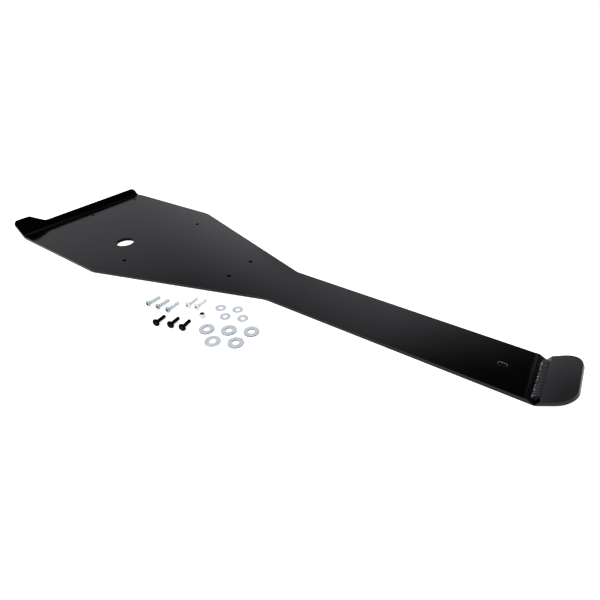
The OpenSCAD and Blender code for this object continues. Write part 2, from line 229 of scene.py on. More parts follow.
def make_paper():
    """Pale paper that shows as white to the camera."""
    material, shader, n = new_material("paper", metallic=0.0, specular=0.0)
    seen = n.add("ShaderNodeLightPath").outputs["Is Camera Ray"]
    grain = n.add("ShaderNodeTexNoise", Scale=40.0, Detail=2.0)
    tone = n.ramp(grain.outputs["Fac"], 0.3, 0.7, to_low=PAPER_GREY, to_high=PAPER_WHITE)
    n.feed(shader.inputs["Base Color"], n.mix(seen, tone, WHITE))
    n.feed(shader.inputs["Roughness"], 1.0)
    n.feed(shader.inputs["Emission Color"], n.mix(seen, BLACK, WHITE))
    n.feed(shader.inputs["Emission Strength"], PAPER_GLOW)
    return material


def make_floor():
    """A sheet of paper just under the part, which keeps the shadows."""
    mesh = bpy.data.meshes.new("floor")
    corners = []
    for x, y in ((-1, -1), (1, -1), (1, 1), (-1, 1)):
        corners.append((x * PAPER_REACH, y * PAPER_REACH, PAPER_LOW))
    mesh.from_pydata(corners, [], [(0, 1, 2, 3)])
    mesh.materials.append(make_paper())
    floor = bpy.data.objects.new("floor", mesh)
    bpy.context.collection.objects.link(floor)


# ---------------------------------------------------------------- effects shared by materials


def new_group(name, inputs, outputs):
    """An empty node group of plain values. inputs maps each input's name to its default."""
    tree = bpy.data.node_groups.new(name, "ShaderNodeTree")
    for socket_name, default in inputs.items():
        socket = tree.interface.new_socket(socket_name, in_out="INPUT", socket_type="NodeSocketFloat")
        socket.default_value = default
    for socket_name in outputs:
        tree.interface.new_socket(socket_name, in_out="OUTPUT", socket_type="NodeSocketFloat")
    n = Nodes(tree)
    return tree, n, n.add("NodeGroupInput").outputs, n.add("NodeGroupOutput").inputs


def make_orange_peel():
    """The low bumps of a baked coat, with a slow drift of its tone and gloss."""
    tree, n, given, out = new_group(
        "orange_peel",
        inputs={"Bumps Per Metre": 700.0, "Drift Per Metre": 9.0},
        outputs=("Height", "Drift", "Specks"),
    )
    place = n.add("ShaderNodeTexCoord").outputs["Object"]
    broad = n.add("ShaderNodeTexNoise", Vector=place, Scale=given["Bumps Per Metre"], Detail=1.5)
    fine_scale = n.math("MULTIPLY", given["Bumps Per Metre"], 3.1)
    fine = n.add("ShaderNodeTexNoise", Vector=place, Scale=fine_scale, Detail=1.0)
    n.feed(out["Height"], n.math("MULTIPLY_ADD", fine.outputs["Fac"], 0.3, broad.outputs["Fac"]))
    drift = n.add("ShaderNodeTexNoise", Vector=place, Scale=given["Drift Per Metre"], Detail=3.0)
    n.feed(out["Drift"], n.ramp(drift.outputs["Fac"], 0.3, 0.7))
    n.feed(out["Specks"], n.ramp(fine.outputs["Fac"], 0.62, 0.75))
    return tree


def make_tumbled_metal():
    """The bloom, scuffs and pits of small plated parts that were tumbled together."""
    tree, n, given, out = new_group(
        "tumbled_metal",
        inputs={"Grains Per Metre": 1200.0},
        outputs=("Bloom", "Scuffs", "Height"),
    )
    place = n.add("ShaderNodeTexCoord").outputs["Object"]
    bloom_scale = n.math("MULTIPLY", given["Grains Per Metre"], 0.12)
    bloom = n.add("ShaderNodeTexNoise", Vector=place, Scale=bloom_scale, Detail=3.0)
    n.feed(out["Bloom"], n.ramp(bloom.outputs["Fac"], 0.3, 0.7))
    pits = n.add("ShaderNodeTexNoise", Vector=place, Scale=given["Grains Per Metre"], Detail=2.0)
    drawn = n.add("ShaderNodeMapping", Vector=place, Scale=(1.0, 0.12, 1.0))
    scuff_scale = n.math("MULTIPLY", given["Grains Per Metre"], 0.8)
    scuffs = n.add("ShaderNodeTexNoise", Vector=drawn.outputs[0], Scale=scuff_scale, Detail=2.0)
    n.feed(out["Scuffs"], n.ramp(scuffs.outputs["Fac"], 0.55, 0.7))
    n.feed(out["Height"], n.math("MULTIPLY_ADD", scuffs.outputs["Fac"], 0.5, pits.outputs["Fac"]))
    return tree


def new_material(name, metallic, specular):
    """A material with its Principled shader, and a Nodes to add to it."""
    material = bpy.data.materials.new(name)
    material.use_nodes = True
    shader = material.node_tree.nodes["Principled BSDF"]
    shader.inputs["Metallic"].default_value = metallic
    shader.inputs["Specular IOR Level"].default_value = specular
    return material, shader, Nodes(material.node_tree)


def place_group(n, tree, **inputs):
    return n.add("ShaderNodeGroup", {"node_tree": tree}, **inputs).outputs


def dress(n, shader, colour, roughness, height, bumps):
    """Feeds a shader its colour, its roughness and bumps of some depth."""
    n.feed(shader.inputs["Base Color"], colour)
    n.feed(shader.inputs["Roughness"], roughness)
    bump = n.add("ShaderNodeBump", Height=height, Distance=bumps)
    n.feed(shader.inputs["Normal"], bump.outputs["Normal"])


def between(n, mask, tones):
    """A colour that goes from the first tone to the second with a mask."""
    low, high = tones
    return n.mix(mask, (*low, 1), (*high, 1))


# ---------------------------------------------------------------- coats


def make_powder_coat(peel):
    material, shader, n = new_material("black_powder_coat", metallic=0.0, specular=0.5)
    effect = place_group(n, peel)
    colour = between(n, effect["Drift"], ((0.0006, 0.0005, 0.0007), (0.001, 0.0008, 0.0011)))
    gloss = n.ramp(effect["Drift"], 0.0, 1.0, to_low=0.11, to_high=0.14)
    gloss = n.math("MULTIPLY_ADD", effect["Specks"], 0.03, gloss)
    dress(n, shader, colour, gloss, effect["Height"], bumps=0.002 * MM)
    return material


def make_coated_weld(peel):
    """The coat over the bead. Faces turned towards the bar get lighter grey specks: a painted highlight.
    """
    material, shader, n = new_material("coated_weld", metallic=0.0, specular=0.28)
    effect = place_group(n, peel, Bumps_Per_Metre=420.0, Drift_Per_Metre=300.0)
    colour = between(n, effect["Drift"], ((0.001, 0.001, 0.0014), (0.006, 0.005, 0.007)))
    normal = n.add("ShaderNodeNewGeometry").outputs["Normal"]
    highlight_facing = n.ramp(n.add("ShaderNodeSeparateXYZ", Vector=normal).outputs["X"], -0.4, -0.65)
    highlight_specks = n.math("MULTIPLY", highlight_facing, n.ramp(effect["Drift"], 0.5, 0.9, to_low=0.05))
    # Painted highlight: faces turned towards the bar get a lighter grey, in specks.
    colour = n.mix(highlight_specks, colour, (0.42, 0.4, 0.42, 1))
    gloss = n.ramp(effect["Drift"], 0.0, 1.0, to_low=0.08, to_high=0.2)
    dress(n, shader, colour, gloss, effect["Height"], bumps=0.16 * MM)
    return material


def make_dull_coat(peel, name, specular, tones, roughness, bumps, bump_rate, drift_rate):
    """A dull coat between two tones and two roughnesses. The rates are per metre."""
    material, shader, n = new_material(name, metallic=0.0, specular=specular)
    effect = place_group(n, peel, Bumps_Per_Metre=bump_rate, Drift_Per_Metre=drift_rate)
    colour = between(n, effect["Drift"], tones)
    dress(n, shader, colour, n.ramp(effect["Drift"], 0.0, 1.0, *roughness), effect["Height"], bumps)
    return material


def make_rough_shaded_bore(peel):
    """The cut walls of the holes: rough, and with little shine, which is painted shade in the holes."""
    return make_dull_coat(
        peel,
        "rough_shaded_bore",
        specular=0.15,
        tones=((0.001, 0.001, 0.0012), (0.003, 0.003, 0.0035)),
        roughness=(0.5, 0.7),
        bumps=0.03 * MM,
        bump_rate=1500.0,
        drift_rate=400.0,
    )


def make_nylon(peel):
    """The dark nylon of the lock nut's ring."""
    return make_dull_coat(
        peel,
        "dark_nylon",
        specular=0.2,
        tones=((0.002, 0.002, 0.003), (0.004, 0.004, 0.006)),
        roughness=(0.4, 0.5),
        bumps=0.02 * MM,
        bump_rate=2500.0,
        drift_rate=300.0,
    )


# ---------------------------------------------------------------- metals


def make_metal(
    metal, name, metallic, tones, scuff_and_shade_tone, roughness, bumps, grains, specular=0.5, painted_side_shade=False
):
    """A metal between two tones, with scuffs of a third. Its sides may take the third tone too, as
    painted shade where they turn away from the camera.
    """
    material, shader, n = new_material(name, metallic, specular)
    effect = place_group(n, metal, Grains_Per_Metre=grains)
    scuffs_and_side_shade = effect["Scuffs"]
    if painted_side_shade:
        # Painted shade: faces turned away from the camera darken towards the scuff tone.
        facing = n.add("ShaderNodeLayerWeight", Blend=0.5).outputs["Facing"]
        scuffs_and_side_shade = n.math("MAXIMUM", scuffs_and_side_shade, n.ramp(facing, 0.45, 0.85))
    colour = n.mix(scuffs_and_side_shade, between(n, effect["Bloom"], tones), (*scuff_and_shade_tone, 1))
    dress(n, shader, colour, n.ramp(effect["Bloom"], 0.0, 1.0, *roughness), effect["Height"], bumps)
    return material


def make_zinc(metal):
    """The bright plating on the faces of the washers."""
    return make_metal(
        metal,
        "bright_zinc",
        metallic=0.25,
        tones=((0.66, 0.72, 0.78), (0.76, 0.81, 0.85)),
        scuff_and_shade_tone=(0.56, 0.6, 0.66),
        roughness=(0.28, 0.44),
        bumps=0.015 * MM,
        grains=1200.0,
    )


def make_shaded_side_zinc(metal):
    """The punched sides of a washer: zinc darkened as painted shade, and rougher for the sheared steel.
    """
    return make_metal(
        metal,
        "shaded_side_zinc",
        metallic=0.5,
        tones=((0.2, 0.25, 0.32), (0.3, 0.36, 0.43)),
        scuff_and_shade_tone=(0.14, 0.17, 0.22),
        roughness=(0.4, 0.55),
        bumps=0.03 * MM,
        grains=2200.0,
    )


def make_painted_highlight_rim(metal):
    """The bevel round the nose slot, in a lighter grey metal: a painted highlight."""
    return make_metal(
        metal,
        "painted_highlight_rim",
        metallic=0.3,
        tones=((0.14, 0.14, 0.145), (0.24, 0.24, 0.24)),
        scuff_and_shade_tone=(0.05, 0.05, 0.055),
        roughness=(0.4, 0.6),
        bumps=0.02 * MM,
        grains=3000.0,
    )


def make_stainless(metal):
    return make_metal(
        metal,
        "pale_stainless",
        metallic=0.2,
        tones=((0.84, 0.84, 0.84), (0.94, 0.94, 0.93)),
        scuff_and_shade_tone=(0.7, 0.7, 0.71),
        roughness=(0.22, 0.36),
        bumps=0.01 * MM,
        grains=1600.0,
    )


def make_black_oxide(metal):
    return make_metal(
        metal,
        "black_oxide",
        metallic=0.0,
        tones=((0.001, 0.001, 0.0014), (0.003, 0.0026, 0.003)),
        scuff_and_shade_tone=(0.004, 0.004, 0.004),
        roughness=(0.24, 0.4),
        bumps=0.015 * MM,
        grains=1200.0,
        specular=0.05,
    )


def make_plating(metal, name, metallic, tones, scuff_and_shade_tone):
    """The plating on a head or a thread, with painted shade where it turns away from the camera."""
    return make_metal(
        metal,
        name,
        metallic,
        tones,
        scuff_and_shade_tone,
        roughness=(0.22, 0.36),
        bumps=0.015 * MM,
        grains=1800.0,
        painted_side_shade=True,
    )


def make_shaded_socket(metal, name, low, high):
    """The inside of a drive socket, darker than its head: painted shade in the recess."""
    material, shader, n = new_material(name, metallic=0.2, specular=0.3)
    effect = place_group(n, metal, Grains_Per_Metre=2600.0)
    walls = between(n, effect["Bloom"], ((low, low, low * 1.1), (high, high, high * 1.06)))
    roughness = n.ramp(effect["Scuffs"], 0.0, 1.0, to_low=0.3, to_high=0.5)
    dress(n, shader, walls, roughness, effect["Height"], bumps=0.02 * MM)
    return material


def make_screw_finishes(metal, stainless, painted_shade_socket):
    """For each kind of screw: the finish of its head, its socket and its thread, and the name of its
    slot, which is not used.
    """
    # One zinc plating in two copies: a darker one on the heads as painted shade, and a lighter one on the
    # threads as painted light.
    painted_shade_zinc_head = make_plating(
        metal, "painted_shade_zinc_head", 0.4, ((0.45, 0.53, 0.58), (0.56, 0.62, 0.66)), scuff_and_shade_tone=(0.28, 0.33, 0.38)
    )
    painted_light_zinc_thread = make_plating(
        metal, "painted_light_zinc_thread", 0.2, ((0.82, 0.91, 0.96), (0.92, 0.97, 1.0)), scuff_and_shade_tone=(0.2, 0.25, 0.29)
    )
    # The steel screws' threads get a lighter, duller copy of the stainless: painted light.
    painted_light_steel_thread = make_plating(
        metal, "painted_light_steel_thread", 0.05, ((0.93, 0.93, 0.93), (0.98, 0.98, 0.98)), scuff_and_shade_tone=(0.6, 0.6, 0.6)
    )
    grey_painted_shade_socket = make_shaded_socket(metal, "grey_painted_shade_socket", 0.26, 0.42)
    black_oxide = make_black_oxide(metal)
    return {
        "zinc_screw": (painted_shade_zinc_head, painted_shade_socket, painted_light_zinc_thread, "zinc"),
        "black_screw": (black_oxide, painted_shade_socket, black_oxide, "black_oxide"),
        "steel_screw": (stainless, grey_painted_shade_socket, painted_light_steel_thread, "stainless"),
    }


# ---------------------------------------------------------------- meshes

SAME_POINT = 0.0001 * MM


def body_of_node(node):
    for body, nodes in frame["record"]["behaviour"]["bodies"].items():
        if node in nodes:
            return body


def finish_piece(piece, node, material):
    """Gives a piece its finish, and puts it in the place of a CAD node."""
    piece.data.materials.clear()
    piece.data.materials.append(material)
    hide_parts(node)
    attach(piece, body_of_node(node))


def piece_from(name, bm, smooth_angle):
    """An object from a bmesh, shaded smooth but for the edges sharper than an angle."""
    bmesh.ops.remove_doubles(bm, verts=bm.verts, dist=SAME_POINT)
    bmesh.ops.dissolve_degenerate(bm, edges=bm.edges, dist=SAME_POINT)
    bmesh.ops.recalc_face_normals(bm, faces=bm.faces)
    limit = math.radians(smooth_angle)
    for face in bm.faces:
        face.smooth = True
    for edge in bm.edges:
        edge.smooth = len(edge.link_faces) == 2 and edge.calc_face_angle(0.0) < limit
    mesh = bpy.data.meshes.new(name)
    bm.to_mesh(mesh)
    bm.free()
    piece = bpy.data.objects.new(name, mesh)
    bpy.context.collection.objects.link(piece)
    return piece


def corners_of(node):
    return [vertex.co.copy() for vertex in frame["nodes"][node].data.vertices]


def middle_and_heights(node):
    """The middle of a node's box, and the heights of its bottom and its top."""
    low, high = (Vector(corner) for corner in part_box(node))
    return (low + high) / 2, low.z, high.z


# ---------------------------------------------------------------- coated plates

# The radius that the coat gives to sharp edges, and what share of it the worn and hidden ones get
COAT_ROUNDING = 0.5 * MM
COAT_STEPS = 3
SHARP_EDGE = math.radians(25)
FLAT_SEAM = math.radians(0.4)
SLOT_EDGE_SHARE = 0.4
WELD_EDGE_SHARE = 0.15

# Half of the nose slot with its bevel, and how upright its walls and its bevel are
SLOT_HALF_LENGTH = 7.2 * MM
SLOT_HALF_WIDTH = 4.4 * MM
SLOT_WALL_TILT = 0.3
SLOT_BEVEL_TILT = 0.97
SLOT_BEVEL_LOW = 3 * MM
HOLE_WALL_TILT = 0.5
HOLE_MARGIN = 0.1 * MM

# An edge or a bevel this near to the weld, and turned like this, belongs to it
IN_LINE = 0.1 * MM
WELD_SIDE_BAR = 6 * MM
WELD_SIDE_NOSE = 7 * MM
GROOVE_TILT_X = 0.15
GROOVE_TILT_Z = 0.3


def clean_copy(node):
    """A bmesh of a CAD node, with its flat faces whole again."""
    bm = bmesh.new()
    bm.from_mesh(frame["nodes"][node].data)
    bmesh.ops.remove_doubles(bm, verts=bm.verts, dist=2 * SAME_POINT)
    bmesh.ops.dissolve_degenerate(bm, edges=bm.edges, dist=10 * SAME_POINT)
    bmesh.ops.dissolve_limit(bm, angle_limit=FLAT_SEAM, verts=bm.verts, edges=bm.edges)
    return bm


def mount_place(name):
    for mount in frame["record"]["mounts"]:
        if mount["name"] == name:
            return Vector(mount["pos_m"])


def in_slot(point):
    """Whether a point lies in or just round the slot of the nose."""
    away = point.xy - mount_place("nose_slot").xy
    return abs(away.x) < SLOT_HALF_LENGTH and abs(away.y) < SLOT_HALF_WIDTH


def beside_weld(edge):
    """Whether an edge of the nose plate runs along the weld."""
    first, second = (vertex.co for vertex in edge.verts)
    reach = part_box("nose_weld")[1][0] + WELD_SIDE_NOSE
    return abs(first.x - second.x) < IN_LINE and max(first.x, second.x) < reach


def rounding_share(node, edge):
    """How much of the coat's rounding an edge gets: less in the slot and beside the weld."""
    middle = (edge.verts[0].co + edge.verts[1].co) / 2
    if node == "nose_plate" and beside_weld(edge):
        return WELD_EDGE_SHARE
    return SLOT_EDGE_SHARE if in_slot(middle) else 1.0


def rounded_piece(name, node):
    """A copy of a CAD node with all its sharp edges rounded, as a coat rounds them."""
    bm = clean_copy(node)
    weight = bm.edges.layers.float.new("bevel_weight_edge")
    for edge in bm.edges:
        if len(edge.link_faces) == 2 and edge.calc_face_angle(0.0) > SHARP_EDGE:
            edge[weight] = rounding_share(node, edge)
    piece = piece_from(name, bm, smooth_angle=25.0)
    bevel = piece.modifiers.new("edges", "BEVEL")
    bevel.width = COAT_ROUNDING
    bevel.segments = COAT_STEPS
    bevel.limit_method = "WEIGHT"
    bevel.use_clamp_overlap = False
    bevel.miter_outer = "MITER_ARC"
    bpy.context.view_layer.update()
    apply_modifiers(piece)
    for polygon in piece.data.polygons:
        polygon.use_smooth = True
    weighted = piece.modifiers.new("shading", "WEIGHTED_NORMAL")
    weighted.weight = 100
    weighted.keep_sharp = False
    return piece


def apply_modifiers(piece):
    shaped = piece.evaluated_get(bpy.context.evaluated_depsgraph_get())
    mesh = bpy.data.meshes.new_from_object(shaped)
    piece.modifiers.clear()
    piece.data = mesh


def holes_of_plate():
    """The middle and the radius of each round hole, from the record's mounts."""
    holes = []
    for mount in frame["record"]["mounts"]:
        middle = Vector(mount["pos_m"])
        sizes = mount["dims"]
        if mount["kind"] == "bore":
            holes.append((middle, sizes["r_mm"] * MM))
        elif mount["kind"] == "bolt_pattern":
            half = sizes["spacing_y_mm"] * MM / 2
            for side in (-half, half):
                holes.append((middle + Vector((0, side, 0)), sizes["hole_r_mm"] * MM))
    return holes


def add_finish(piece, material):
    """One more finish on a piece. Gives its index for the piece's polygons."""
    piece.data.materials.append(material)
    return len(piece.data.materials) - 1


def finish_holes(piece, bore, rim):
    """Gives the walls of the holes and of the slot the dull finish of painted shade, and the bevel of the
    slot its painted highlight.
    """
    bore_finish = add_finish(piece, bore)
    rim_finish = add_finish(piece, rim)
    holes = holes_of_plate()
    for polygon in piece.data.polygons:
        tilt = abs(polygon.normal.z)
        if in_slot(polygon.center):
            if tilt < SLOT_WALL_TILT:
                polygon.material_index = bore_finish
            elif tilt < SLOT_BEVEL_TILT and polygon.center.z > SLOT_BEVEL_LOW:
                # The slot's bevel gets the painted highlight.
                polygon.material_index = rim_finish
            continue
        for middle, radius in holes:
            away = (polygon.center.xy - middle.xy).length
            if tilt < HOLE_WALL_TILT and away < radius + HOLE_MARGIN:
                polygon.material_index = bore_finish


def finish_groove(piece, weld):
    """The bevel of the bar beside the weld is as rough as the weld."""
    weld_finish = add_finish(piece, weld)
    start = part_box("nose_weld")[0][0] - WELD_SIDE_BAR
    for polygon in piece.data.polygons:
        normal = polygon.normal
        if polygon.center.x > start and normal.x > GROOVE_TILT_X and normal.z > GROOVE_TILT_Z:
            polygon.material_index = weld_finish


def make_plates(coat, bore, rim, weld):
    """The main plate and the nose plate, with the coat rounded over their edges."""
    for node in ("main_plate", "nose_plate"):
        piece = rounded_piece("coated_" + node, node)
        finish_piece(piece, node, coat)
        if node == "main_plate":
            finish_holes(piece, bore, rim)
            finish_groove(piece, weld)


# ---------------------------------------------------------------- rings of points and skins

AROUND = 48
FINE_AROUND = 96
# Where a thread's root ends and its crest starts and ends, as shares of its pitch
ROOT_END = 0.25
CREST_START = 0.56
CREST_END = 0.69


def circle(radius, z, count=AROUND):
    points = []
    for i in range(count):
        angle = 2 * math.pi * i / count
        points.append(Vector((radius * math.cos(angle), radius * math.sin(angle), z)))
    return points


def hexagon(corner_r, z, extra=0.0, turn=0.0, count=AROUND):
    """Points round a hexagon that has a corner at the angle turn, all moved out by extra."""
    points = []
    for i in range(count):
        angle = 2 * math.pi * i / count
        in_side = (angle - turn) % (math.pi / 3) - math.pi / 6
        radius = corner_r * math.cos(math.pi / 6) / math.cos(in_side) + extra
        points.append(Vector((radius * math.cos(angle), radius * math.sin(angle), z)))
    return points


def arc(middle_r, middle_z, radius, start, end, steps=3):
    """Radius and height of points on a small arc, with its angles in degrees."""
    points = []
    for i in range(steps + 1):
        angle = math.radians(start + (end - start) * i / steps)
        points.append((middle_r + radius * math.cos(angle), middle_z + radius * math.sin(angle)))
    return points


def join_rings(bm, first, second):
    """Faces between two rings, or between a ring and a single point."""
    count = max(len(first), len(second))
    for i in range(count):
        k = (i + 1) % count
        corners = []
        for ring, place in ((first, i), (first, k), (second, k), (second, i)):
            vertex = ring[place % len(ring)]
            if vertex not in corners:
                corners.append(vertex)
        bm.faces.new(corners)


def add_lathe(bm, rings, closed=False):
    """A skin through rings of points, which a closed one joins into a loop. Gives the rings made."""
    made = [[bm.verts.new(point) for point in points] for points in rings]
    for first, second in zip(made, made[1:]):
        join_rings(bm, first, second)
    if closed:
        join_rings(bm, made[-1], made[0])
    return made


def add_helix(bm, pitch, root_r, crest_r, low, high, low_r, high_r, around=AROUND):
    """A real helical thread between two heights, bevelled down to a radius at each end.

    crest_r may be smaller than root_r, for a thread inside a hole. The spare turns beyond both
    heights are flattened onto them.
    """
    outside = crest_r > root_r
    profile = ((0.0, root_r), (ROOT_END, root_r), (CREST_START, crest_r), (CREST_END, crest_r))
    turns = int((high - low) / pitch) + 4
    columns = []
    for i in range(around):
        angle = 2 * math.pi * i / around
        column = []
        for turn in range(-2, turns):
            for share, radius in profile:
                z = low + pitch * (turn + share + i / around)
                for inside, end_r in ((z - low, low_r), (high - z, high_r)):
                    inside = max(inside, 0.0)
                    if outside:
                        radius = min(radius, end_r + inside)
                    else:
                        radius = max(radius, end_r - inside)
                z = min(max(z, low), high)
                column.append(bm.verts.new((radius * math.cos(angle), radius * math.sin(angle), z)))
        columns.append(column)
    join_columns(bm, columns, len(profile))


def join_columns(bm, columns, rise):
    """Faces between the columns of a helix, which climbs by a rise of points in each turn."""
    for i, near in enumerate(columns):
        last = i == len(columns) - 1
        far = columns[0] if last else columns[i + 1]
        shift = rise if last else 0
        for row in range(len(near) - rise - 1):
            bm.faces.new((near[row], far[row + shift], far[row + 1 + shift], near[row + 1]))


# ---------------------------------------------------------------- screws

AXIS_STEPS = 50
CLOSE = 0.05 * MM

HEAD_EDGE = 0.2 * MM
HEAD_EDGE_SHARE = 0.45
THICK_RIM = 0.6 * MM
DOME_STEPS = 8
FLANGE_STEP = 0.3 * MM
FLANGE_FILLET = 0.25 * MM

SOCKET_BEVEL = 0.12 * MM
SOCKET_POINT = 0.35 * MM
SOCKET_FLOOR_SHARE = 0.8
SOCKET_INSIDE = 0.97

THREAD_START = 0.1 * MM
TIP_BEVEL = 0.35 * MM
TIP_LEAD = 0.05 * MM
TIP_EDGE = 0.15 * MM


def long_axis(points):
    """The middle of some points, and the direction that they spread along the most.

    Each step turns a first guess closer to that direction.
    """
    middle = sum(points, Vector()) / len(points)
    spread = Matrix.Diagonal((0.0, 0.0, 0.0))
    for point in points:
        d = point - middle
        for row in range(3):
            spread[row] += d[row] * d
    axis = Vector((1.0, 1.0, 1.0))
    for _ in range(AXIS_STEPS):
        axis = (spread @ axis).normalized()
    return middle, axis


def polar(points, middle, axis):
    """For each point, how far it lies along an axis and how far from it, and the point."""
    rows = []
    for point in points:
        along = (point - middle).dot(axis)
        rows.append((along, (point - middle - along * axis).length, point))
    return rows


def distinct(values, gap):
    """The values in order, without those that lie within a gap of the one before."""
    kept = []
    for value in sorted(values):
        if not kept or value - kept[-1] > gap:
            kept.append(value)
    return kept


class Screw:
    """The sizes and the place of a screw, taken from its solid. z = 0 is under the head.

    NECK and TIP are the parts of the shank that have no full thread. The corners of the socket's
    walls lie outside SOCKET_CORE.
    """

    NECK = 1.0 * MM
    TIP = 2.0 * MM
    SOCKET_CORE = 1.0 * MM

    def __init__(self, node):
        points = corners_of(node)
        middle, axis = long_axis(points)
        rows = polar(points, middle, axis)
        if max(rows, key=lambda row: row[1])[0] > 0:
            axis = -axis
            rows = polar(points, middle, axis)
        self.head_r = max(row[1] for row in rows)
        rim = [row[0] for row in rows if row[1] > self.head_r - CLOSE]
        seat = max(rim)
        self.rim = min(rim) - seat
        self.measure_dome(rows, seat)
        self.measure_thread(rows, seat)
        floor, corner = self.measure_socket(rows, seat)
        x_axis = (corner - middle - axis * floor).normalized()
        y_axis = axis.cross(x_axis)
        turned = Matrix((x_axis, y_axis, axis)).transposed().to_4x4()
        self.place = Matrix.Translation(middle + axis * seat) @ turned

    def measure_dome(self, rows, seat):
        """The flat top, and the foot of the dome. Without a flange, the foot is the head's edge."""
        top = min(row[0] for row in rows)
        self.top = top - seat
        self.top_r = max(row[1] for row in rows if row[0] < top + CLOSE)
        foot = [row[1] for row in rows if abs(row[0] - seat - self.rim) < CLOSE]
        foot = [radius for radius in foot if radius < self.head_r - FLANGE_STEP]
        self.dome_r = max(foot, default=self.head_r)

    def measure_thread(self, rows, seat):
        """The length, radii and pitch. Each crest is flat, so it has two edges."""
        self.length = max(row[0] for row in rows) - seat
        shank = [row for row in rows if row[0] > seat + self.NECK]
        self.thread_r = max(row[1] for row in shank)
        crests = [row[0] for row in shank if row[1] > self.thread_r - CLOSE]
        edges = distinct(crests, CLOSE)
        self.pitch = edges[2] - edges[0]
        self.root_r = min(row[1] for row in shank if row[0] < seat + self.length - self.TIP)

    def measure_socket(self, rows, seat):
        """The socket's width and depth. Gives the place along the screw of one corner, and the corner."""
        low, high = seat + self.top + FLANGE_STEP, seat - CLOSE
        socket = [row for row in rows if low < row[0] < high]
        socket = [row for row in socket if self.SOCKET_CORE < row[1] < self.top_r]
        floor, self.hex_r, corner = max(socket, key=lambda row: row[1])
        self.socket_floor = floor - seat
        return floor, corner


def head_outline(screw):
    """Radius and height of the head's outside, from its flat top to the seat.

    The dome is part of a ball through the edge of the flat top and its own foot.
    """
    top_z, rim_z = screw.top, screw.rim
    middle_z = (screw.dome_r**2 - screw.top_r**2 + rim_z**2 - top_z**2) / (2 * (rim_z - top_z))
    ball_r = math.hypot(screw.top_r, top_z - middle_z)
    start = math.degrees(math.atan2(top_z - middle_z, screw.top_r))
    end = math.degrees(math.atan2(rim_z - middle_z, screw.dome_r))
    outline = arc(0.0, middle_z, ball_r, start, end, DOME_STEPS)[:-1]
    if screw.dome_r < screw.head_r - FLANGE_STEP:
        outline += [
            (screw.dome_r - 0.08 * FLANGE_FILLET, rim_z - FLANGE_FILLET),
            (screw.dome_r + 0.32 * FLANGE_FILLET, rim_z - 0.32 * FLANGE_FILLET),
            (screw.dome_r + FLANGE_FILLET, rim_z),
        ]
    edge = min(HEAD_EDGE, -rim_z * HEAD_EDGE_SHARE)
    edge_start = -90 if rim_z < -THICK_RIM else -45
    outline += arc(screw.head_r - edge, rim_z + edge, edge, edge_start, 0)
    outline += arc(screw.head_r - edge, -edge, edge, 0, 90)
    return outline


def socket_rings(screw):
    """The drilled point, the floor and the walls of the socket, up to its bevel."""
    floor = screw.socket_floor
    return [
        [Vector((0, 0, floor + SOCKET_POINT))],
        circle(screw.hex_r * SOCKET_FLOOR_SHARE, floor),
        hexagon(screw.hex_r, floor),
        hexagon(screw.hex_r, screw.top + SOCKET_BEVEL),
        hexagon(screw.hex_r, screw.top, extra=SOCKET_BEVEL),
    ]


def add_shank(bm, screw):
    """The thread, from under the head to the bevelled tip."""
    tip_r = screw.root_r - TIP_BEVEL
    tip_z = screw.length - TIP_LEAD
    add_helix(bm, screw.pitch, screw.root_r, screw.thread_r, 0.0, tip_z, screw.root_r, tip_r)
    end = [Vector((0, 0, screw.length))]
    add_lathe(bm, [circle(tip_r, tip_z), circle(tip_r - TIP_EDGE, screw.length), end])


def make_screw(node, head, socket, thread, slot):
    """A socket screw, as one closed skin with a finish for its head, its socket and its thread."""
    screw = Screw(node)
    bm = bmesh.new()
    rings = socket_rings(screw)
    rings += [circle(radius, z) for radius, z in head_outline(screw)]
    rings.append(circle(screw.root_r, 0.0))
    add_lathe(bm, rings)
    add_shank(bm, screw)
    bm.transform(screw.place)
    piece = piece_from("threaded_" + node, bm, smooth_angle=38.0)
    finish_piece(piece, node, head)
    finish_socket_and_thread(piece, screw, socket, thread)


def finish_socket_and_thread(piece, screw, socket, thread):
    """Gives the polygons inside the socket the socket's finish of painted shade, and those below the head
    the thread's finish.
    """
    socket_finish = add_finish(piece, socket)
    thread_finish = add_finish(piece, thread)
    mouth = screw.top + SOCKET_BEVEL / 2
    bottom = screw.socket_floor + SOCKET_POINT + CLOSE
    inward = screw.place.inverted()
    for polygon in piece.data.polygons:
        middle = inward @ polygon.center
        if mouth < middle.z < bottom and middle.xy.length < screw.hex_r * SOCKET_INSIDE:
            polygon.material_index = socket_finish
        elif middle.z > THREAD_START:
            polygon.material_index = thread_finish


# ---------------------------------------------------------------- washers

# The least and the most that a washer's top edges roll over, in millimetres
WASHER_ROLL = (0.28, 0.4)
WASHER_BURR = 0.12 * MM
WASHER_INNER_SHARE = 0.8
WASHER_SIDE_TILT = 0.5


